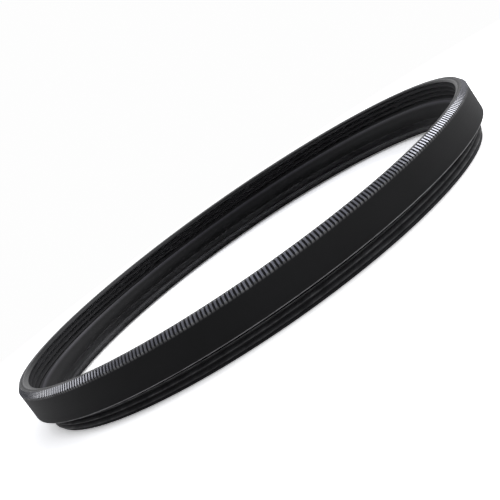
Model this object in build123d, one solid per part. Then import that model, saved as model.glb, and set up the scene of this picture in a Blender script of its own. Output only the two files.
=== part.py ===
from build123d import *
import os
from math import cos, pi, sin

# A screw-in clear glass filter for a camera lens, 77 mm size.
# Origin at the middle of the rear face, +Z towards the front. All sizes in mm.

# Threads, the same nominal size at both ends
thread_d = 77.0
thread_pitch = 0.75

# Rear male thread
rear_thread_h = 2.6
relief_h = 0.5
relief_cut = 0.1
rear_edge = 0.3
rear_land = 0.4

# Rim band with its knurled bevel and front lip
rim_step = 1.5
rim_h = 5.0
rim_edge = 0.12
bevel_w = 0.55
bevel_h = 0.65
knurl_count = 432
knurl_depth = 0.25
mouth_w = 0.65
mouth_h = 0.4

# Glass seat inside the frame
seat_wall = 0.7
ledge_w = 1.0
ledge_h = 1.35
ledge_edge_h = 0.4

# Glass disc
glass_t = 1.1
glass_edge = 0.1

# Retaining ring
ring_step = 0.45
ring_h = 2.25
nose_h = 0.8
ring_land = 0.15
ring_cone_h = 1.3
ring_blend = 1.2

# Gap all round between pieces that fit into each other
clearance = 0.05

# Standard proportions of a 60 degree metric thread
major_r = thread_d / 2
male_root_r = major_r - 0.6134 * thread_pitch
female_minor_r = major_r - 0.5413 * thread_pitch

# Frame, worked out
rim_r = major_r + rim_step
front_z = rear_thread_h + rim_h
bevel_z = front_z - bevel_h
lip_inner_r = female_minor_r + mouth_w
seat_r = male_root_r - seat_wall
aperture_r = seat_r - ledge_w
rear_outer_r = major_r - rear_edge
rear_inner_r = rear_outer_r - rear_land
glass_z = ledge_h
ring_z = glass_z + glass_t
ring_top_z = ring_z + ring_h
ring_seat_r = female_minor_r - ring_step
ring_seat_z = ring_z + nose_h - clearance


def turned(*corners, blend_at=None, blend=0.0):
    """A solid of revolution about Z from the (radius, height) corners of its section."""
    with BuildPart() as body:
        with BuildSketch(Plane.XZ) as section:
            with BuildLine():
                Polyline(*corners, close=True)
            make_face()
            if blend_at:
                corner = section.vertices().sort_by_distance((*blend_at, 0))[0]
                fillet(corner, blend)
        revolve(axis=Axis.Z)
    return body.part


def knurl_outline(z):
    """The zigzag outline of the knurl at height z: crests on the bevel, roots below it."""
    crest_r = rim_r - (z - bevel_z) * bevel_w / bevel_h
    root_r = crest_r - knurl_depth
    half_pitch = pi / knurl_count
    points = []
    for tooth in range(knurl_count):
        crest = 2 * tooth * half_pitch
        root = crest + half_pitch
        points.append((crest_r * cos(crest), crest_r * sin(crest), z))
        points.append((root_r * cos(root), root_r * sin(root), z))
    return Wire.make_polygon(points, close=True)


def knurl_cutter():
    """What the knurl takes off the rim: a collar whose bore is the tapering zigzag.

    The grooves run straight down the bevel and out through the band in pointed ends.
    """
    groove_end_z = bevel_z - knurl_depth * bevel_h / bevel_w
    over = bevel_h / 2
    low_z = groove_end_z - over
    high_z = front_z + over
    outer_r = rim_r + bevel_w + knurl_depth
    collar = turned((lip_inner_r, low_z), (outer_r, low_z), (outer_r, high_z), (lip_inner_r, high_z))
    core = Solid.make_loft([knurl_outline(low_z - over), knurl_outline(high_z + over)], ruled=True)
    return collar - core


def filter_frame():
    """The turned frame: rear thread, rim with knurled bevel, front thread bore, glass ledge."""
    blank = turned(
        (rear_inner_r, 0),
        (rear_outer_r, 0),
        (major_r, rear_edge),
        (major_r, rear_thread_h - relief_h),
        (male_root_r, rear_thread_h - relief_h),
        (male_root_r, rear_thread_h + relief_cut),
        (major_r + relief_cut, rear_thread_h),
        (rim_r - rim_edge, rear_thread_h),
        (rim_r, rear_thread_h + rim_edge),
        (rim_r, front_z),
        (lip_inner_r, front_z),
        (female_minor_r, front_z - mouth_h),
        (female_minor_r, ring_top_z),
        (ring_seat_r, ring_top_z),
        (ring_seat_r, ring_seat_z),
        (seat_r, ring_seat_z),
        (seat_r, ledge_h),
        (aperture_r, ledge_h),
        (aperture_r, ledge_h - ledge_edge_h),
    )
    return blank - knurl_cutter()


def glass_disc():
    """The flat glass with ground edges, lying on the ledge."""
    disc_r = seat_r - clearance
    return turned(
        (0, glass_z),
        (disc_r - glass_edge, glass_z),
        (disc_r, glass_z + glass_edge),
        (disc_r, glass_z + glass_t - glass_edge),
        (disc_r - glass_edge, glass_z + glass_t),
        (0, glass_z + glass_t),
    )


def retaining_ring():
    """The ring that screws in behind the front thread and holds the glass with its nose."""
    ring_r = ring_seat_r - clearance
    nose_r = seat_r - clearance
    shoulder_z = ring_z + nose_h
    cone_foot = (aperture_r, ring_top_z - ring_cone_h)
    return turned(
        (aperture_r, ring_z),
        (nose_r, ring_z),
        (nose_r, shoulder_z),
        (ring_r, shoulder_z),
        (ring_r, ring_top_z),
        (ring_r - ring_land, ring_top_z),
        cone_foot,
        blend_at=cone_foot,
        blend=ring_blend,
    )


pieces = {
    "filter_frame": filter_frame(),
    "glass_disc": glass_disc(),
    "retaining_ring": retaining_ring(),
}

os.makedirs("parts", exist_ok=True)
for name, piece in pieces.items():
    export_step(piece, f"parts/{name}.step")
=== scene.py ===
"""A screw-in clear glass lens filter, dressed for rendering around its CAD model.

Lengths in the shape functions are in millimetres and become metres when a mesh is made.
The filter lies at the origin with its rear face on the floor and its optical axis along +Z.
"""

import bmesh
import bpy
import numpy as np
from mathutils import Matrix, Quaternion, Vector


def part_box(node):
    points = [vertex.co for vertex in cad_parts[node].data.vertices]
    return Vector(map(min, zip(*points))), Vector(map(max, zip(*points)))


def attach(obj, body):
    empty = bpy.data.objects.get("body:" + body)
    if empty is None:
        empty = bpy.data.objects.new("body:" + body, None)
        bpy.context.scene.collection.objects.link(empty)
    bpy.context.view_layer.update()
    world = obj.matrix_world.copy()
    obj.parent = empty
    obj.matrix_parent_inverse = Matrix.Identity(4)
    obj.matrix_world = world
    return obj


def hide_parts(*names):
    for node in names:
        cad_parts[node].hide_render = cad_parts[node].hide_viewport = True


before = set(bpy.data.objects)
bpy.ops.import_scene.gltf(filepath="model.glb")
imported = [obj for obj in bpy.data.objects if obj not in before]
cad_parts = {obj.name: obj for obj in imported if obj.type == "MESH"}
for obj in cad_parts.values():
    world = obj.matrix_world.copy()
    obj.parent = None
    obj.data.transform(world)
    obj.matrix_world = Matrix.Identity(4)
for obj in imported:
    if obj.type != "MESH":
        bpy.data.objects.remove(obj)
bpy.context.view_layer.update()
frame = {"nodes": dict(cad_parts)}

bl_info = {
    "name": "Lens filter",
    "version": (1, 0, 0),
    "blender": (4, 5, 0),
    "location": "3D View > Sidebar > Lens filter",
    "description": "Builds a screw-in clear lens filter with a knurled rim and fine threads",
    "category": "Add Mesh",
}

MM = 0.001
CAD_RIM_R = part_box("filter_frame")[1].x
CAD_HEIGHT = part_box("filter_frame")[1].z
CAD_GLASS_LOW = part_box("glass_disc")[0].z
CAD_GLASS_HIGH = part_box("glass_disc")[1].z
CAD_GLASS_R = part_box("glass_disc")[1].x
CAD_RING_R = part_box("retaining_ring")[1].x
CAD_RING_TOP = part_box("retaining_ring")[1].z

# A 60 degree metric thread as shares of its pitch: depth of the root, width of the flat crest and
# of one flank
ROOT_DEPTH = 0.6134
FLAT_CREST = 0.125
FLANK = 0.354

# Fixed forms in millimetres: the gap round pieces that fit into each other, the relief groove above
# the rear thread, the chamfer below it, the drop of the mouth's bevel, the drop of the retaining
# ring's slope and the height of its nose
GAP = 0.05
RELIEF_H = 0.5
REAR_EDGE = 0.3
MOUTH_DROP = 0.4
SLOPE_DROP = 1.3
NOSE_H = 0.8


# Sizes and colours that a user would change


def length(name, description, default):
    """A length property in metres."""
    return bpy.props.FloatProperty(
        name=name, description=description, default=default, unit="LENGTH", precision=5, min=0.0
    )


def colour(name, description, default):
    """A colour property, linear red, green and blue."""
    return bpy.props.FloatVectorProperty(
        name=name, description=description, default=default, subtype="COLOR", size=3, min=0.0, max=1.0
    )


class FilterSizes(bpy.types.PropertyGroup):
    """Sizes of the filter. The outer ones come from the CAD model."""

    rim_radius: length("Rim radius", "Radius of the smooth band", CAD_RIM_R)
    height: length("Height", "From the rear face to the front lip", CAD_HEIGHT)
    thread_radius: length("Thread radius", "Major radius of both threads", 38.5 * MM)
    pitch: length("Pitch", "Distance between two turns of a thread", 0.75 * MM)
    shoulder: length("Shoulder", "Height of the rim's lower edge above the rear face", 2.6 * MM)
    bevel_width: length("Bevel width", "How far the knurled bevel goes in", 0.55 * MM)
    bevel_height: length("Bevel height", "How far the knurled bevel goes down", 0.65 * MM)
    knurl_depth: length("Knurl depth", "Depth of the grooves in the bevel", 0.25 * MM)
    knurl_count: bpy.props.IntProperty(
        name="Knurl count", description="Number of grooves round the rim", default=432, min=12
    )
    lip_inner: length("Lip inner radius", "Radius where the mouth's bevel starts", 38.744 * MM)
    bore: length("Bore radius", "Minor radius of the front thread", 38.094 * MM)
    glass_radius: length("Glass radius", "Radius of the glass disc", CAD_GLASS_R)
    ring_radius: length("Ring radius", "Outer radius of the retaining ring", CAD_RING_R)
    aperture: length("Clear radius", "Radius of the clear opening", 36.34 * MM)


class FilterColours(bpy.types.PropertyGroup):
    """Colours of the filter's finishes and of the floor."""

    frame: colour("Frame", "Black anodised coat of the frame", (0.0085, 0.0085, 0.0092))
    knurl: colour("Knurl", "Worn anodised coat on the knurl's crests", (0.1150, 0.1180, 0.1400))
    # The threads' and the rear cone's colours are the frame's black coat made lighter: painted light,
    # for the light that falls short inside the threads and for the floor's light thrown up under the
    # glass
    thread: colour("Threads", "Black anodised coat in the threads", (0.0120, 0.0120, 0.0130))
    cone: colour("Rear cone", "Thin coat under the glass", (0.0550, 0.0550, 0.0575))
    ring: colour("Ring", "Bluish black coat of the retaining ring", (0.0280, 0.0265, 0.0350))
    wear: colour("Wear", "Bare metal on rubbed edges", (0.75, 0.75, 0.76))
    glass: colour("Glass", "Tint of the glass", (0.998, 1.0, 0.999))
    floor: colour("Floor", "Table top", (0.985, 0.985, 0.985))


# Profiles


def eased(corners, radii, steps=3):
    """Points (radius, height) of an open section, rounded at all corners but its ends, with a mask.

    Formula: around corner P with neighbours A and B, the curve is the quadratic one from
    P + e(A - P)/|A - P| over P to P + e(B - P)/|B - P|. The mask is the sine of the turn in the
    middle of an outward edge's curve. It falls to 0 at the curve's ends, and is 0 on hollow corners.
    """
    p = np.array(corners, float)
    e = np.array(radii, float)[1:-1, None]
    back = p[:-2] - p[1:-1]
    ahead = p[2:] - p[1:-1]
    start = p[1:-1] + e * back / np.linalg.norm(back, axis=1)[:, None]
    end = p[1:-1] + e * ahead / np.linalg.norm(ahead, axis=1)[:, None]
    t = np.linspace(0.0, 1.0, steps + 1)[None, :, None]
    curve = (1 - t) ** 2 * start[:, None] + 2 * t * (1 - t) * p[1:-1, None] + t**2 * end[:, None]
    turn = ahead[:, 0] * back[:, 1] - ahead[:, 1] * back[:, 0]
    turn = turn / (np.linalg.norm(ahead, axis=1) * np.linalg.norm(back, axis=1))
    mask = (np.clip(turn, 0.0, 1.0)[:, None] * np.sin(np.linspace(0.0, np.pi, steps + 1))).ravel()
    return np.vstack([p[:1], curve.reshape(-1, 2), p[-1:]]), np.concatenate([[0.0], mask, [0.0]])


def turned_rings(points, angles):
    """Rings of a turned surface: each (radius, height) point carried round the axis."""
    radius, height = points[:, 0, None], points[:, 1, None]
    flat = np.ones_like(angles)
    return np.stack([radius * np.cos(angles), radius * np.sin(angles), height * flat], axis=-1)


def thread_rings(crest, root, low, high, pitch, angles):
    """Rings that follow a right-hand helix, from height low to height high.

    Formula: row s stands at height z = s + pitch * angle / 2 pi, held between low and high. Its
    radius is the 60 degree section read at the phase (z - pitch * angle / 2 pi) / pitch: flat crest,
    flank, flat root, flank. Rows held at an end fall together and are merged later. The mask is the
    cube of the height above the root, as a share of the thread's depth.
    """
    rounding = 1e-9
    phase_at = np.array([0.0, FLAT_CREST, FLAT_CREST + FLANK, 1.0 - FLANK, 1.0])
    radius_at = np.array([crest, crest, root, root, crest])
    first = np.floor(low / pitch) - 1
    last = np.ceil(high / pitch) + 1
    turn = np.arange(first, last)
    rows = (turn[:, None] + phase_at[None, :-1]).ravel() * pitch
    rise = pitch * angles / (2 * np.pi)
    z = np.clip(rows[:, None] + rise[None, :], low, high)
    phase = ((z - rise) / pitch) % 1.0
    phase = np.where(phase > 1.0 - rounding, 0.0, phase)
    radius = np.interp(phase, phase_at, radius_at)
    mask = np.clip((radius - root) / (crest - root), 0.0, 1.0)
    rings = np.stack([radius * np.cos(angles), radius * np.sin(angles), z], axis=-1)
    return rings, mask**3


def knurl_rings(size, phases, depth_share, count, ease):
    """Rings of the knurled bevel, from the band's top up to the flat lip, with two masks.

    Formula: at height z the crest stands on the bevel's cone, radius R - (z - b) w / h, and a groove
    lies depth * share(angle) inside it. The second row is where that surface meets the band of
    radius R, so every groove runs out in a point. The rows above it are straight. The first mask is
    the rubbing of the crests, and the second one the grooves' share.
    """
    flat_lip_w = 0.2
    band_margin = 0.12
    rounding_in = 0.6 * ease
    rub_at_ends = 0.5
    rub_between = 0.7
    rim, width, height, depth = size["rim"], size["bevel_w"], size["bevel_h"], size["knurl"]
    slope = width / height
    bevel_z = size["height"] - height
    angles = ((np.arange(count)[:, None] + phases[None, :]) * 2 * np.pi / count).ravel()
    angles = np.append(angles, angles[0] + 2 * np.pi)
    share = np.append(np.tile(depth_share, count), depth_share[0])
    one = np.ones_like(angles)
    meet_z = bevel_z - depth * share / slope
    top = size["height"]
    under = top - ease
    rows_r = [
        rim * one,
        rim * one,
        rim - (under - bevel_z) * slope - depth * share,
        rim - (top - bevel_z) * slope - depth * share - rounding_in,
        (size["lip_inner"] + flat_lip_w) * one,
    ]
    below_z = bevel_z - depth / slope - band_margin
    rows_z = [below_z * one, meet_z, under * one, top * one, top * one]
    radius, z = np.array(rows_r), np.array(rows_z)
    rings = np.stack([radius * np.cos(angles), radius * np.sin(angles), z], axis=-1)
    crest = np.clip(1.0 - share, 0.0, 1.0) ** 2
    mask = np.stack([0 * one, rub_at_ends * crest, rub_between * crest, rub_at_ends * crest, 0 * one])
    # The grooves' share is also the amount of painted shade in them
    groove = np.stack([0 * one, share, share, share, 0 * one])
    return rings, mask, groove


# Meshes

# Points this close, in metres, are one point. Faces that meet at more than this angle, in degrees,
# have a sharp edge. The weight says how far large faces decide the shading of their corners.
MERGE_DISTANCE = 2e-7
SHARP_ANGLE = 32.0
LARGE_FACE_WEIGHT = 80


def ring_faces(low, high, n_low, n_high):
    """Faces between two rows of n_low and n_high points: quads, or one wide face a coarse step.

    low and high are the numbers of the rows' first points. A row ends where it starts, so its last
    point doubles its first, or on a helix the first point of the row one turn on.
    """
    if n_low > n_high:
        return ring_faces(high, low, n_high, n_low)[:, ::-1]
    share = (n_high - 1) // (n_low - 1)
    i = np.arange(n_low - 1)
    across = i[:, None] * share + np.arange(share, -1, -1)[None, :]
    return np.concatenate([low + np.stack([i, i + 1], axis=1), high + across], axis=1)


def mesh_piece(name, rings, masks, grooves, slots, node, closed=True):
    """A closed surface woven through rings of points, as an object that replaces a CAD node.

    rings is a list of (n, 3) arrays in millimetres, masks and grooves one value or array a ring, and
    slots the material number of the faces from each ring to the next. With closed, the last ring is
    joined to the first. Without it, both have shrunk to a point. Doubled points are merged and faces
    turned outwards.
    """
    count = [len(r) for r in rings]
    start = np.concatenate([[0], np.cumsum(count)[:-1]])
    follow = list(range(1, len(rings))) + ([0] if closed else [])
    faces = []
    material = []
    for low, high in enumerate(follow):
        new = ring_faces(int(start[low]), int(start[high]), count[low], count[high])
        faces += new.tolist()
        material += [slots[low]] * len(new)
    mesh = bpy.data.meshes.new(name)
    mesh.from_pydata((np.concatenate(rings) * MM).tolist(), [], faces)
    mesh.polygons.foreach_set("material_index", np.array(material, np.int32))
    # The groove values are painted shade in the knurl's grooves and down the ring's slope, and painted
    # light in the threads' roots
    for label, values in (("edge", masks), ("groove", grooves)):
        layer = mesh.attributes.new(label, "FLOAT", "POINT")
        value = np.concatenate([np.broadcast_to(v, (n,)) for v, n in zip(values, count)])
        layer.data.foreach_set("value", value.astype(np.float32))
    solid = bmesh.new()
    solid.from_mesh(mesh)
    bmesh.ops.remove_doubles(solid, verts=solid.verts, dist=MERGE_DISTANCE)
    bmesh.ops.recalc_face_normals(solid, faces=solid.faces)
    solid.to_mesh(mesh)
    solid.free()
    mesh.polygons.foreach_set("use_smooth", np.ones(len(mesh.polygons), bool))
    mesh.set_sharp_from_angle(angle=np.radians(SHARP_ANGLE))
    mesh.update()
    obj = bpy.data.objects.new(name, mesh)
    bpy.context.scene.collection.objects.link(obj)
    weight = obj.modifiers.new("even shading", "WEIGHTED_NORMAL")
    weight.keep_sharp = True
    weight.weight = LARGE_FACE_WEIGHT
    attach(obj, "root")
    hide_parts(node)
    return obj


def spread(points_mask, angles):
    """Turned rings of a section made by eased(), their masks, and 0 for their grooves."""
    points, mask = points_mask
    return turned_rings(points, angles), mask, 0.0 * mask


# Materials

# Nearly all of a noise texture's values lie between these two
NOISE_LOW = 0.3
NOISE_HIGH = 0.7


def put(tree, kind, values=None, **settings):
    """A shader node with its settings made, and its inputs set to values or linked to sockets."""
    node = tree.nodes.new(kind)
    for key, value in settings.items():
        setattr(node, key, value)
    for key, value in (values or {}).items():
        socket = node.inputs[key]
        if isinstance(value, bpy.types.NodeSocket):
            tree.links.new(value, socket)
        else:
            socket.default_value = value
    return node


def math_node(tree, operation, a, b=0.0, clamp=False):
    """The output of a Math node."""
    return put(tree, "ShaderNodeMath", {0: a, 1: b}, operation=operation, use_clamp=clamp).outputs[0]


def remap(tree, value, low, high, to_low=0.0, to_high=1.0):
    """The output of a Map Range node from low..high to to_low..to_high, clamped."""
    values = {"Value": value, "From Min": low, "From Max": high, "To Min": to_low, "To Max": to_high}
    return put(tree, "ShaderNodeMapRange", values, clamp=True).outputs["Result"]


def blend_colour(tree, share, first, second):
    """The output of a Mix node between two colours."""
    node = put(tree, "ShaderNodeMix", {"Factor": share}, data_type="RGBA")
    for key, value in ((6, first), (7, second)):
        if isinstance(value, bpy.types.NodeSocket):
            tree.links.new(value, node.inputs[key])
        else:
            node.inputs[key].default_value = (*value, 1.0)
    return node.outputs[2]


def new_group(name, inputs, outputs):
    """An empty shader node group with named float inputs and outputs."""
    tree = bpy.data.node_groups.new(name, "ShaderNodeTree")
    for label, default in inputs.items():
        socket = tree.interface.new_socket(name=label, in_out="INPUT", socket_type="NodeSocketFloat")
        socket.default_value = default
    for label in outputs:
        tree.interface.new_socket(name=label, in_out="OUTPUT", socket_type="NodeSocketFloat")
    return tree, tree.nodes.new("NodeGroupInput"), tree.nodes.new("NodeGroupOutput")


def turned_finish_group():
    """Node group with what a lathe and a bead blast leave on metal.

    Lines is noise read at (distance from the axis, height) only, so it runs round the axis. Grain is
    fine noise in all directions, and Cloud is a slow change of tone.
    """
    tree, inlet, outlet = new_group(
        "turned finish",
        {"Line spacing": 0.00006, "Grain size": 0.00012, "Cloud size": 0.012},
        ["Lines", "Grain", "Cloud"],
    )
    place = put(tree, "ShaderNodeTexCoord").outputs["Object"]
    parts = put(tree, "ShaderNodeSeparateXYZ", {0: place})
    flat = put(tree, "ShaderNodeCombineXYZ", {0: parts.outputs[0], 1: parts.outputs[1]})
    reach = put(tree, "ShaderNodeVectorMath", {0: flat.outputs[0]}, operation="LENGTH").outputs["Value"]
    section = put(tree, "ShaderNodeCombineXYZ", {0: reach, 1: parts.outputs[2]}).outputs[0]
    for label, source, vector, detail in (
        ("Lines", "Line spacing", section, 2.0),
        ("Grain", "Grain size", place, 2.0),
        ("Cloud", "Cloud size", place, 3.0),
    ):
        scale = math_node(tree, "DIVIDE", 1.0, inlet.outputs[source])
        noise = put(tree, "ShaderNodeTexNoise", {"Vector": vector, "Scale": scale, "Detail": detail})
        tree.links.new(noise.outputs[0], outlet.inputs[label])
    return tree


def edge_wear_group():
    """Node group that says how far the coat is rubbed off: the mesh's edge value broken by noise."""
    tree, inlet, outlet = new_group("edge wear", {"Amount": 0.5, "Patch size": 0.0015}, ["Wear"])
    edge = put(tree, "ShaderNodeAttribute", attribute_name="edge").outputs["Fac"]
    place = put(tree, "ShaderNodeTexCoord").outputs["Object"]
    scale = math_node(tree, "DIVIDE", 1.0, inlet.outputs["Patch size"])
    noise = put(tree, "ShaderNodeTexNoise", {"Vector": place, "Scale": scale, "Detail": 3.0})
    patch = remap(tree, noise.outputs[0], 0.35, 0.65, 0.45, 1.0)
    rubbed = math_node(tree, "MULTIPLY", edge, patch)
    wear = math_node(tree, "MULTIPLY", rubbed, inlet.outputs["Amount"], clamp=True)
    tree.links.new(wear, outlet.inputs["Wear"])
    return tree


def painted_groove_group():
    """Node group that says how strongly the mesh's groove value paints shade and light into a place."""
    tree, inlet, outlet = new_group("groove shade", {"Amount": 0.8}, ["Shade"])
    groove = put(tree, "ShaderNodeAttribute", attribute_name="groove").outputs["Fac"]
    depth = remap(tree, groove, 0.03, 0.35)
    shade = math_node(tree, "MULTIPLY", depth, inlet.outputs["Amount"], clamp=True)
    tree.links.new(shade, outlet.inputs["Shade"])
    return tree


def grouped(tree, name, maker, **values):
    """A shared node group placed in a material, with its own values."""
    group = bpy.data.node_groups.get(name) or maker()
    node = put(tree, "ShaderNodeGroup", node_tree=group)
    for key, value in values.items():
        node.inputs[key.replace("_", " ")].default_value = value
    return node


# What all anodised coats share: darkest and palest tone as times their colour, what the grain does to
# roughness and to the bump, how much smoother rubbed metal and how much rougher a groove is, and the
# strength of the bump
COAT_DARKEST = 0.82
COAT_PALEST = 1.22
GRAIN_ROUGH = 0.03
GRAIN_HEIGHT = 0.6
WORN_SMOOTHER = 0.12
GROOVE_ROUGHER = 0.3
BUMP_STRENGTH = 0.25


def anodised(name, colour_value, wear_colour, look):
    """Black anodised aluminium: dyed coat, turning lines, blasted grain and rubbed edges.

    look is one row of FINISHES. In a groove the coat's colour is painted: darker, as painted shade, in
    the knurl and the ring, and lighter, as painted light, in the threads. Its roughness changes, and no
    metal shines through it, which darkens its reflection as painted shade too.
    """
    material = bpy.data.materials.new(name)
    material.use_nodes = True
    tree = material.node_tree
    tree.nodes.clear()
    finish = grouped(tree, "turned finish", turned_finish_group, Line_spacing=look["line"])
    wear = grouped(tree, "edge wear", edge_wear_group, Amount=look["wear"]).outputs["Wear"]
    lines, grain, cloud = (finish.outputs[label] for label in ("Lines", "Grain", "Cloud"))
    tone = remap(tree, cloud, NOISE_LOW, NOISE_HIGH)
    darkest = tuple(COAT_DARKEST * c for c in colour_value)
    palest = tuple(min(1.0, COAT_PALEST * c) for c in colour_value)
    coat = blend_colour(tree, tone, darkest, palest)
    # Painted shade and painted light: the groove value darkens the coat in the knurl's grooves and down
    # the ring's slope, and lightens it in the threads' roots
    shade = grouped(tree, "groove shade", painted_groove_group, Amount=look["shade"]).outputs["Shade"]
    coat = blend_colour(tree, shade, coat, tuple(look["painted_groove_tone"] * c for c in colour_value))
    coat = blend_colour(tree, wear, coat, wear_colour)
    turned, blasted = look["line_rough"], look["rough"]
    rough_line = remap(tree, lines, NOISE_LOW, NOISE_HIGH, -turned, turned)
    rough_grain = remap(tree, grain, NOISE_LOW, NOISE_HIGH, blasted - GRAIN_ROUGH, blasted + GRAIN_ROUGH)
    rough = math_node(tree, "ADD", rough_line, rough_grain)
    smoother = math_node(tree, "MULTIPLY", wear, WORN_SMOOTHER)
    rough = math_node(tree, "SUBTRACT", rough, smoother, clamp=True)
    rougher = math_node(tree, "MULTIPLY", shade, GROOVE_ROUGHER)
    rough = math_node(tree, "ADD", rough, rougher, clamp=True)
    height = math_node(tree, "MULTIPLY", lines, look["line_height"])
    height = math_node(tree, "ADD", height, math_node(tree, "MULTIPLY", grain, GRAIN_HEIGHT))
    relief = {"Strength": BUMP_STRENGTH, "Distance": look["bump"], "Height": height}
    bump = put(tree, "ShaderNodeBump", relief)
    # Painted shade: a groove loses its metal, so its reflection is darker
    sheen = remap(tree, shade, 0.0, 1.0, look["metal"], 0.0)
    metal = math_node(tree, "MAXIMUM", wear, sheen)
    shader = put(
        tree,
        "ShaderNodeBsdfPrincipled",
        {"Base Color": coat, "Roughness": rough, "Normal": bump.outputs[0], "Metallic": metal},
    )
    shader.inputs["IOR"].default_value = look["ior"]
    out = tree.nodes.new("ShaderNodeOutputMaterial")
    tree.links.new(shader.outputs[0], out.inputs["Surface"])
    return material


def coated_glass(tint):
    """Clear glass with an anti-reflection coating and a trace of haze in slow clouds.

    Light on its way to a lamp, bounce light and reflections pass straight through it. What the
    camera sees is half let through from the front, and wholly at a low angle.
    """
    cloud_scale = 90.0
    most_haze = 0.02
    index = 1.45
    front, low_angle = 0.30, 0.75
    material = bpy.data.materials.new("coated glass")
    material.use_nodes = True
    tree = material.node_tree
    tree.nodes.clear()
    place = put(tree, "ShaderNodeTexCoord").outputs["Object"]
    noise = put(tree, "ShaderNodeTexNoise", {"Vector": place, "Scale": cloud_scale, "Detail": 3.0})
    cloud = noise.outputs[0]
    colour_value = blend_colour(tree, remap(tree, cloud, NOISE_LOW, NOISE_HIGH), tint, (1.0, 1.0, 1.0))
    haze = remap(tree, cloud, 0.45, 0.75, 0.0, most_haze)
    shader = put(tree, "ShaderNodeBsdfPrincipled", {"Base Color": colour_value, "Roughness": haze})
    shader.inputs["Transmission Weight"].default_value = 1.0
    shader.inputs["Metallic"].default_value = 0.0
    shader.inputs["IOR"].default_value = index
    clear = put(tree, "ShaderNodeBsdfTransparent")
    path = put(tree, "ShaderNodeLightPath")
    facing = put(tree, "ShaderNodeLayerWeight", {"Blend": 0.5}).outputs["Facing"]
    coating = remap(tree, facing, front, low_angle, 0.5, 1.0)
    passing = math_node(tree, "MAXIMUM", path.outputs["Is Shadow Ray"], path.outputs["Is Diffuse Ray"])
    passing = math_node(tree, "MAXIMUM", passing, path.outputs["Is Glossy Ray"])
    passing = math_node(tree, "MAXIMUM", passing, coating)
    mix = put(tree, "ShaderNodeMixShader", {0: passing, 1: shader.outputs[0], 2: clear.outputs[0]})
    out = tree.nodes.new("ShaderNodeOutputMaterial")
    tree.links.new(mix.outputs[0], out.inputs["Surface"])
    return material


# The floor as metal mirrors it, the part of the floor's light that is added for the camera, its
# painted wash of light, an emission, inside the filter, outside at the shadow's left end and outside
# elsewhere, and distances in metres: where the painted wash starts, the x where it grows, and where the
# floor turns into plain white
MIRRORED_FLOOR = (0.30, 0.30, 0.30)
OVEREXPOSURE = 0.5
PAINTED_WASH_INSIDE = 0.05
PAINTED_WASH_LEFT = 0.15
PAINTED_WASH_OUTSIDE = 0.50
PAINTED_WASH_REACH = (0.0370, 0.0390)
PAINTED_WASH_X = (-0.038, -0.005)
WHITE_REACH = (0.06, 0.11)


def floor_material(tint):
    """Matt table top. The camera sees it overexposed, with the object's shadow; metal sees it grey.

    Outside the ring the camera's floor glows with painted light, least on the left, where the shadow
    falls, and inside the ring it glows faintly. Further out it turns into plain white for the camera.
    """
    material = bpy.data.materials.new("table top")
    material.use_nodes = True
    tree = material.node_tree
    tree.nodes.clear()
    place = put(tree, "ShaderNodeTexCoord").outputs["Object"]
    parts = put(tree, "ShaderNodeSeparateXYZ", {0: place})
    reach = put(tree, "ShaderNodeVectorMath", {0: place}, operation="LENGTH").outputs["Value"]
    path = put(tree, "ShaderNodeLightPath")
    seen = math_node(tree, "MAXIMUM", path.outputs["Is Camera Ray"], path.outputs["Is Transmission Ray"])
    top = blend_colour(tree, path.outputs["Is Glossy Ray"], tint, MIRRORED_FLOOR)
    shader = put(tree, "ShaderNodeBsdfPrincipled", {"Base Color": top, "Roughness": 0.9})
    shader.inputs["Specular IOR Level"].default_value = 0.0
    extra = put(tree, "ShaderNodeBsdfDiffuse", {"Color": (*(OVEREXPOSURE * c for c in tint), 1.0)})
    # Painted light: an emission that lifts the camera's floor and its shadow, least on the left
    outside = remap(tree, reach, *PAINTED_WASH_REACH)
    grown = remap(tree, parts.outputs[0], *PAINTED_WASH_X, PAINTED_WASH_LEFT, PAINTED_WASH_OUTSIDE)
    painted_wash = math_node(tree, "ADD", math_node(tree, "MULTIPLY", outside, grown), PAINTED_WASH_INSIDE)
    painted_glow = put(tree, "ShaderNodeEmission", {"Color": (*tint, 1.0), "Strength": painted_wash})
    lit = put(tree, "ShaderNodeAddShader", {0: shader.outputs[0], 1: extra.outputs[0]})
    lift = put(tree, "ShaderNodeAddShader", {0: lit.outputs[0], 1: painted_glow.outputs[0]})
    white = put(tree, "ShaderNodeEmission", {"Color": (*tint, 1.0), "Strength": 1.0})
    far = remap(tree, reach, *WHITE_REACH)
    open_top = put(tree, "ShaderNodeMixShader", {0: far, 1: lift.outputs[0], 2: white.outputs[0]})
    both = put(tree, "ShaderNodeMixShader", {0: seen, 1: shader.outputs[0], 2: open_top.outputs[0]})
    out = tree.nodes.new("ShaderNodeOutputMaterial")
    tree.links.new(both.outputs[0], out.inputs["Surface"])
    return material


# Pieces

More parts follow.
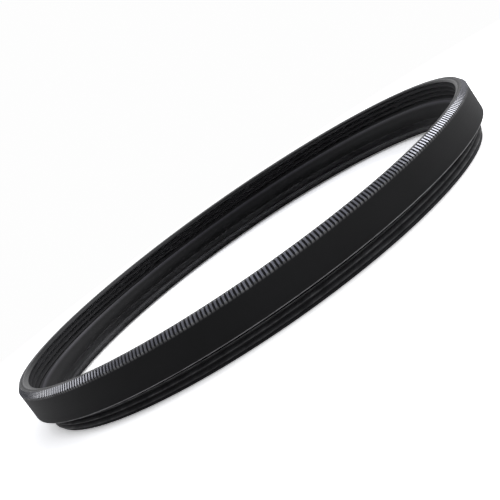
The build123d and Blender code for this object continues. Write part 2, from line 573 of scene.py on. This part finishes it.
# Each finish: spacing of the turning lines in metres, what they do to the roughness and the bump,
# the roughness itself, how far edges are rubbed bare, the bump's depth in metres, how strongly a
# groove's colour is painted and to how many times the coat's own, below one painted shade and above
# one painted light, how much metal shines through the coat, and its refractive index
FINISH_KEYS = (
    "line", "line_rough", "line_height", "rough", "wear", "bump", "shade", "painted_groove_tone", "metal", "ior",
)
FINISHES = {
    "band": (0.00009, 0.02, 0.5, 0.40, 0.90, 0.000006, 0.0, 1.0, 0.0, 1.38),
    "knurl": (0.00009, 0.02, 0.3, 0.24, 0.10, 0.000003, 1.0, 0.1, 0.6, 1.38),
    "thread": (0.00005, 0.02, 0.5, 0.65, 0.20, 0.000002, 1.0, 2.0, 0.0, 1.38),
    "bore": (0.00005, 0.02, 0.5, 0.70, 0.0, 0.000002, 1.0, 1.8, 0.0, 1.33),
    "cone": (0.00005, 0.02, 0.5, 0.85, 0.0, 0.0000005, 0.0, 1.0, 0.0, 1.20),
    "lip": (0.00007, 0.02, 0.5, 0.30, 0.60, 0.000003, 0.0, 1.0, 0.0, 1.50),
    "ring": (0.00007, 0.02, 0.6, 0.56, 0.10, 0.000003, 1.0, 0.1, 0.0, 1.42),
}
ANODISED = {name: dict(zip(FINISH_KEYS, values)) for name, values in FINISHES.items()}

# The frame's coats in the order of its material slots, each with the name of its colour. The threads'
# and the rear cone's colours are lighter than the band's as painted light.
FRAME_COATS = {
    "band": "frame", "knurl": "knurl", "thread": "thread",
    "bore": "thread", "cone": "cone", "lip": "frame",
}
BAND, KNURL, THREAD, BORE, CONE, LIP = range(len(FRAME_COATS))


def coloured_coat(name, colours, colour_key, finish):
    """The anodised material of one finish, in the colour that the key names; for the threads and the
    rear cone that colour holds painted light.
    """
    return anodised(name, tuple(getattr(colours, colour_key)), tuple(colours.wear), ANODISED[finish])


class LENSFILTER_OT_frame(bpy.types.Operator):
    """Build the turned frame: band, knurled bevel, lip, both threads and the glass ledge"""

    bl_idname = "lensfilter.frame"
    bl_label = "Frame"

    def execute(self, context):
        sizes = context.scene.lensfilter_sizes
        rim, top = sizes.rim_radius / MM, sizes.height / MM
        major, pitch, shoulder = sizes.thread_radius / MM, sizes.pitch / MM, sizes.shoulder / MM
        bore, lip, clear = sizes.bore / MM, sizes.lip_inner / MM, sizes.aperture / MM
        glass_low, seat = CAD_GLASS_LOW / MM, sizes.glass_radius / MM + GAP
        ring_seat, ring_top = sizes.ring_radius / MM + GAP, CAD_RING_TOP / MM
        male_root = major - ROOT_DEPTH * pitch
        thread_top = shoulder - RELIEF_H
        mouth_low = top - MOUTH_DROP
        ring_step_z = 3.2
        ledge_low = 0.95
        rear_land = 0.24
        relief_cut = 0.1
        band_low, band_high = shoulder + 1.0, top - 1.4
        hair = 0.01
        count = sizes.knurl_count

        # One tooth of the knurl: flat crest, flank down, narrow root. Each value of share is the depth
        # at one phase, and the corners at 0.25 break the crest's edges.
        phases = np.array([-0.27, -0.22, 0.22, 0.27, 0.46, 0.54])
        share = np.array([0.25, 0.0, 0.0, 0.25, 1.0, 1.0])
        crest_ease = 0.03
        knurl_size = {
            "rim": rim, "height": top, "bevel_w": sizes.bevel_width / MM, "lip_inner": lip,
            "bevel_h": sizes.bevel_height / MM, "knurl": sizes.knurl_depth / MM,
        }
        crown, crown_mask, crown_groove = knurl_rings(knurl_size, phases, share, count, crest_ease)

        angles = (np.arange(count + 1) + phases[0]) * 2 * np.pi / count
        lip_w = 0.16
        mouth_in, mouth_down = 0.35, 0.2154
        mouth = [(lip + lip_w, top), (lip, top), (lip - mouth_in, top - mouth_down)]
        lip_side = eased(mouth, [0, 0.07, 0])
        front, front_mask = thread_rings(bore, major, ring_top, mouth_low, pitch, angles)
        inside = eased(
            [
                (bore - 0.05, ring_top),
                (ring_seat, ring_top),
                (ring_seat, ring_step_z),
                (seat, ring_step_z),
                (seat, glass_low),
                (clear, glass_low),
                (clear, ledge_low),
                (male_root - rear_land, 0.0),
                (major - REAR_EDGE, 0.0),
                (major - (REAR_EDGE - hair), hair),
            ],
            [0, 0.03, 0.03, 0.03, 0.03, 0.04, 0.06, 0.05, 0.05, 0],
        )
        root = male_root + 2 * hair
        rear, rear_mask = thread_rings(major, root, REAR_EDGE, thread_top, pitch, angles)
        outside = eased(
            [
                (male_root, thread_top + 2 * hair),
                (male_root, shoulder + relief_cut),
                (major + relief_cut, shoulder),
                (rim, shoulder),
                (rim, band_low),
                (rim, band_high),
            ],
            [0, 0.05, 0.04, 0.18, 0.1, 0],
        )
        # The threads' groove values paint light into their roots, lighter than the crests; the knurl's
        # paint shade into its grooves
        parts = [
            (crown, crown_mask, crown_groove, KNURL),
            (*spread(lip_side, angles), LIP),
            (front[::-1], 0.0 * front_mask[::-1], 1.0 - front_mask[::-1], BORE),
            (*spread(inside, angles), CONE),
            (rear, rear_mask, 1.0 - rear_mask, THREAD),
            (*spread(outside, angles), BAND),
        ]
        rings = [r for part in parts for r in part[0]]
        masks = [m for part in parts for m in part[1]]
        grooves = [g for part in parts for g in part[2]]
        slots = [part[3] for part in parts for _ in part[0]]

        # The crown's lowest strip and the flat lip have the band's coat
        lip_row = len(crown) - 1
        slots[0] = BAND
        slots[lip_row - 1] = BAND
        slots[lip_row] = BAND
        obj = mesh_piece("turned_frame", rings, masks, grooves, slots, "filter_frame")
        colours = context.scene.lensfilter_colours
        for finish, colour_key in FRAME_COATS.items():
            obj.data.materials.append(coloured_coat(f"anodised {finish}", colours, colour_key, finish))
        return {"FINISHED"}


class LENSFILTER_OT_ring(bpy.types.Operator):
    """Build the retaining ring with its hollow slope"""

    bl_idname = "lensfilter.ring"
    bl_label = "Retaining ring"

    def execute(self, context):
        sizes = context.scene.lensfilter_sizes
        low, top = CAD_GLASS_HIGH / MM, CAD_RING_TOP / MM
        outer, nose, clear = sizes.ring_radius / MM, sizes.glass_radius / MM, sizes.aperture / MM
        slope_foot = top - SLOPE_DROP
        land = 0.15
        points, mask = eased(
            [
                (outer - land, top),
                (clear, slope_foot),
                (clear, low),
                (nose, low),
                (nose, low + NOSE_H),
                (outer, low + NOSE_H),
                (outer, top),
                (outer - land + 0.01, top),
            ],
            [0, 0.40, 0.06, 0.04, 0.04, 0.04, 0.05, 0],
            steps=5,
        )
        rings = list(turned_rings(points, np.linspace(0.0, 2 * np.pi, 541)))

        # The blend at the slope's foot isn't rubbed, and the slope gets painted shade, darker the deeper
        # it lies
        blend_h = 0.5
        mask = np.where(np.abs(points[:, 1] - slope_foot) <= blend_h, 0.0, mask)
        drop = np.clip((top - points[:, 1]) / SLOPE_DROP, 0.0, 1.0)
        slope_side = outer - land - 0.05
        painted_shade_by_depth = np.where(points[:, 0] < slope_side, drop, 0.0)
        slots = [0] * len(rings)
        obj = mesh_piece("glass_ring", rings, list(mask), list(painted_shade_by_depth), slots, "retaining_ring")
        colours = context.scene.lensfilter_colours
        obj.data.materials.append(coloured_coat("anodised ring", colours, "ring", "ring"))
        return {"FINISHED"}


class LENSFILTER_OT_glass(bpy.types.Operator):
    """Build the glass disc with its ground edges"""

    bl_idname = "lensfilter.glass"
    bl_label = "Glass disc"

    def execute(self, context):
        colours = context.scene.lensfilter_colours
        radius = context.scene.lensfilter_sizes.glass_radius / MM
        film = 0.01
        low, top = CAD_GLASS_LOW / MM + film, CAD_GLASS_HIGH / MM - film
        ground = 0.1
        halfway = 18.0
        points = np.array(
            [
                (0.0, low),
                (halfway, low),
                (radius - ground, low),
                (radius, low + ground),
                (radius, top - ground),
                (radius - ground, top),
                (halfway, top),
                (0.0, top),
            ]
        )
        rings = list(turned_rings(points, np.linspace(0.0, 2 * np.pi, 361)))
        none = [0] * len(rings)

        # Slot 1, the blackened coat, is on the ground edge. Its colour is the rear cone's, lightened as
        # painted light.
        slots = [0, 0, 1, 1, 1, 0, 0, 0]
        obj = mesh_piece("clear_glass", rings, none, none, slots, "glass_disc", closed=False)
        obj.data.materials.append(coated_glass(tuple(colours.glass)))
        obj.data.materials.append(coloured_coat("blackened glass edge", colours, "cone", "cone"))
        return {"FINISHED"}


# Stage

# Where the camera stands and how it is turned: distance to the origin in metres, elevation and the
# turns about its own right, up and back axes in degrees, and its lens in millimetres
CAMERA = {"distance": 0.15828, "elevation": 11.05, "turn": (0.418, 0.183, -35.08), "lens": 74.61}
SENSOR_WIDTH = 36.0
AIM = Vector((0.0, 0.0, 0.002))

# What the camera sees of the room, and half the width of the floor in metres
BACKDROP = (0.985, 0.985, 0.985)
HALF_FLOOR = 6.0

# The room round the metal: its dim tone, and what is blended over it in turn, each with the axis of
# the direction, where it starts and is full along that axis, and its tone. They are the left wall,
# the bright right side, the screen behind and the ceiling.
ROOM_TONE = (0.055, 0.056, 0.060)
ROOM_PARTS = (
    (0, -0.35, -0.95, (0.130, 0.132, 0.140)),
    (0, 0.10, 0.90, (0.950, 0.950, 0.965)),
    (1, 0.90, 0.97, (0.650, 0.650, 0.660)),
    (2, 0.50, 0.95, (0.950, 0.960, 1.000)),
)

# Soft lamps: azimuth (0 is the right side, -90 the camera's side), elevation, distance in metres,
# width and height in metres, and radiance
LAMPS = {
    "right softbox": (28.0, 32.0, 0.70, (0.40, 0.34), 7.5),
    "left softbox": (147.0, 28.0, 0.70, (0.36, 0.34), 4.2),
}


def aim_at_origin(obj, azimuth, elevation, distance):
    """Put an object on a sphere round the origin, its -Z axis towards the middle."""
    a, e = np.radians(azimuth), np.radians(elevation)
    place = Vector((np.cos(a) * np.cos(e), np.sin(a) * np.cos(e), np.sin(e))) * distance
    obj.matrix_world = Matrix.Translation(place) @ place.to_track_quat("Z", "Y").to_matrix().to_4x4()


def studio_world():
    """A white backdrop for the camera, and round the metal a dim room with a bright right side.

    Formula: the walls' tone rises with the direction's x, a little to the left and much to the
    right, and with its y to a pale screen straight behind. With its height the walls turn into the
    white ceiling.
    """
    world = bpy.data.worlds.new("studio")
    bpy.context.scene.world = world
    world.use_nodes = True
    tree = world.node_tree
    tree.nodes.clear()
    way = put(tree, "ShaderNodeTexCoord").outputs["Generated"]
    parts = put(tree, "ShaderNodeSeparateXYZ", {0: way})
    room = ROOM_TONE
    for axis, start, full, tone in ROOM_PARTS:
        room = blend_colour(tree, remap(tree, parts.outputs[axis], start, full), room, tone)
    path = put(tree, "ShaderNodeLightPath")
    seen = math_node(tree, "MAXIMUM", path.outputs["Is Camera Ray"], path.outputs["Is Transmission Ray"])
    both = blend_colour(tree, seen, room, BACKDROP)
    back = put(tree, "ShaderNodeBackground", {"Color": both, "Strength": 1.0})
    out = tree.nodes.new("ShaderNodeOutputWorld")
    tree.links.new(back.outputs[0], out.inputs["Surface"])


def soft_lamp(name, azimuth, elevation, distance, size, radiance):
    """A rectangular area lamp. Formula: its power is pi times area times radiance."""
    data = bpy.data.lights.new(name, "AREA")
    data.shape = "RECTANGLE"
    data.size, data.size_y = size
    data.energy = np.pi * size[0] * size[1] * radiance
    lamp = bpy.data.objects.new(name, data)
    bpy.context.scene.collection.objects.link(lamp)
    aim_at_origin(lamp, azimuth, elevation, distance)
    lamp.visible_camera = False


class LENSFILTER_OT_stage(bpy.types.Operator):
    """Build the pale floor, the soft lamps, the backdrop and the camera"""

    bl_idname = "lensfilter.stage"
    bl_label = "Stage"

    def execute(self, context):
        scene = context.scene
        scene.view_settings.view_transform = "Standard"
        mesh = bpy.data.meshes.new("floor")
        corners = [(x * HALF_FLOOR, y * HALF_FLOOR, 0) for x, y in ((-1, -1), (1, -1), (1, 1), (-1, 1))]
        mesh.from_pydata(corners, [], [(0, 1, 2, 3)])
        floor = bpy.data.objects.new("floor", mesh)
        floor.data.materials.append(floor_material(tuple(scene.lensfilter_colours.floor)))
        scene.collection.objects.link(floor)
        studio_world()
        for name, (azimuth, elevation, distance, size, radiance) in LAMPS.items():
            soft_lamp(name, azimuth, elevation, distance, size, radiance)
        data = bpy.data.cameras.new("camera")
        data.lens, data.sensor_width = CAMERA["lens"], SENSOR_WIDTH
        data.clip_start, data.clip_end = 0.005, 50.0
        camera = bpy.data.objects.new("camera", data)
        scene.collection.objects.link(camera)
        elevation = np.radians(CAMERA["elevation"])
        place = Vector((0.0, -np.cos(elevation), np.sin(elevation))) * CAMERA["distance"]
        level = (place - AIM).to_track_quat("Z", "Y")
        turn = Vector(np.radians(CAMERA["turn"]))
        camera.rotation_mode = "QUATERNION"
        camera.location = place
        camera.rotation_quaternion = level @ Quaternion(turn.normalized(), turn.length)
        scene.camera = camera
        return {"FINISHED"}


class LENSFILTER_PT_panel(bpy.types.Panel):
    """Buttons that build the filter and its stage"""

    bl_idname = "LENSFILTER_PT_panel"
    bl_label = "Lens filter"
    bl_space_type = "VIEW_3D"
    bl_region_type = "UI"
    bl_category = "Lens filter"

    def draw(self, context):
        for operator in OPERATORS:
            self.layout.operator(operator.bl_idname)
        for settings in (context.scene.lensfilter_sizes, context.scene.lensfilter_colours):
            box = self.layout.box()
            for key in settings.__annotations__:
                box.prop(settings, key)


OPERATORS = (LENSFILTER_OT_frame, LENSFILTER_OT_ring, LENSFILTER_OT_glass, LENSFILTER_OT_stage)
CLASSES = (FilterSizes, FilterColours, *OPERATORS, LENSFILTER_PT_panel)


def register():
    """Register the classes and attach the settings to the scene."""
    for item in CLASSES:
        bpy.utils.register_class(item)
    bpy.types.Scene.lensfilter_sizes = bpy.props.PointerProperty(type=FilterSizes)
    bpy.types.Scene.lensfilter_colours = bpy.props.PointerProperty(type=FilterColours)


def unregister():
    """Detach the settings and unregister the classes."""
    del bpy.types.Scene.lensfilter_colours
    del bpy.types.Scene.lensfilter_sizes
    for item in reversed(CLASSES):
        bpy.utils.unregister_class(item)


def main():
    """Build every piece and the stage."""
    register()
    bpy.ops.lensfilter.frame()
    bpy.ops.lensfilter.ring()
    bpy.ops.lensfilter.glass()
    bpy.ops.lensfilter.stage()
    bpy.context.view_layer.update()


if __name__ == "__main__":
    main()
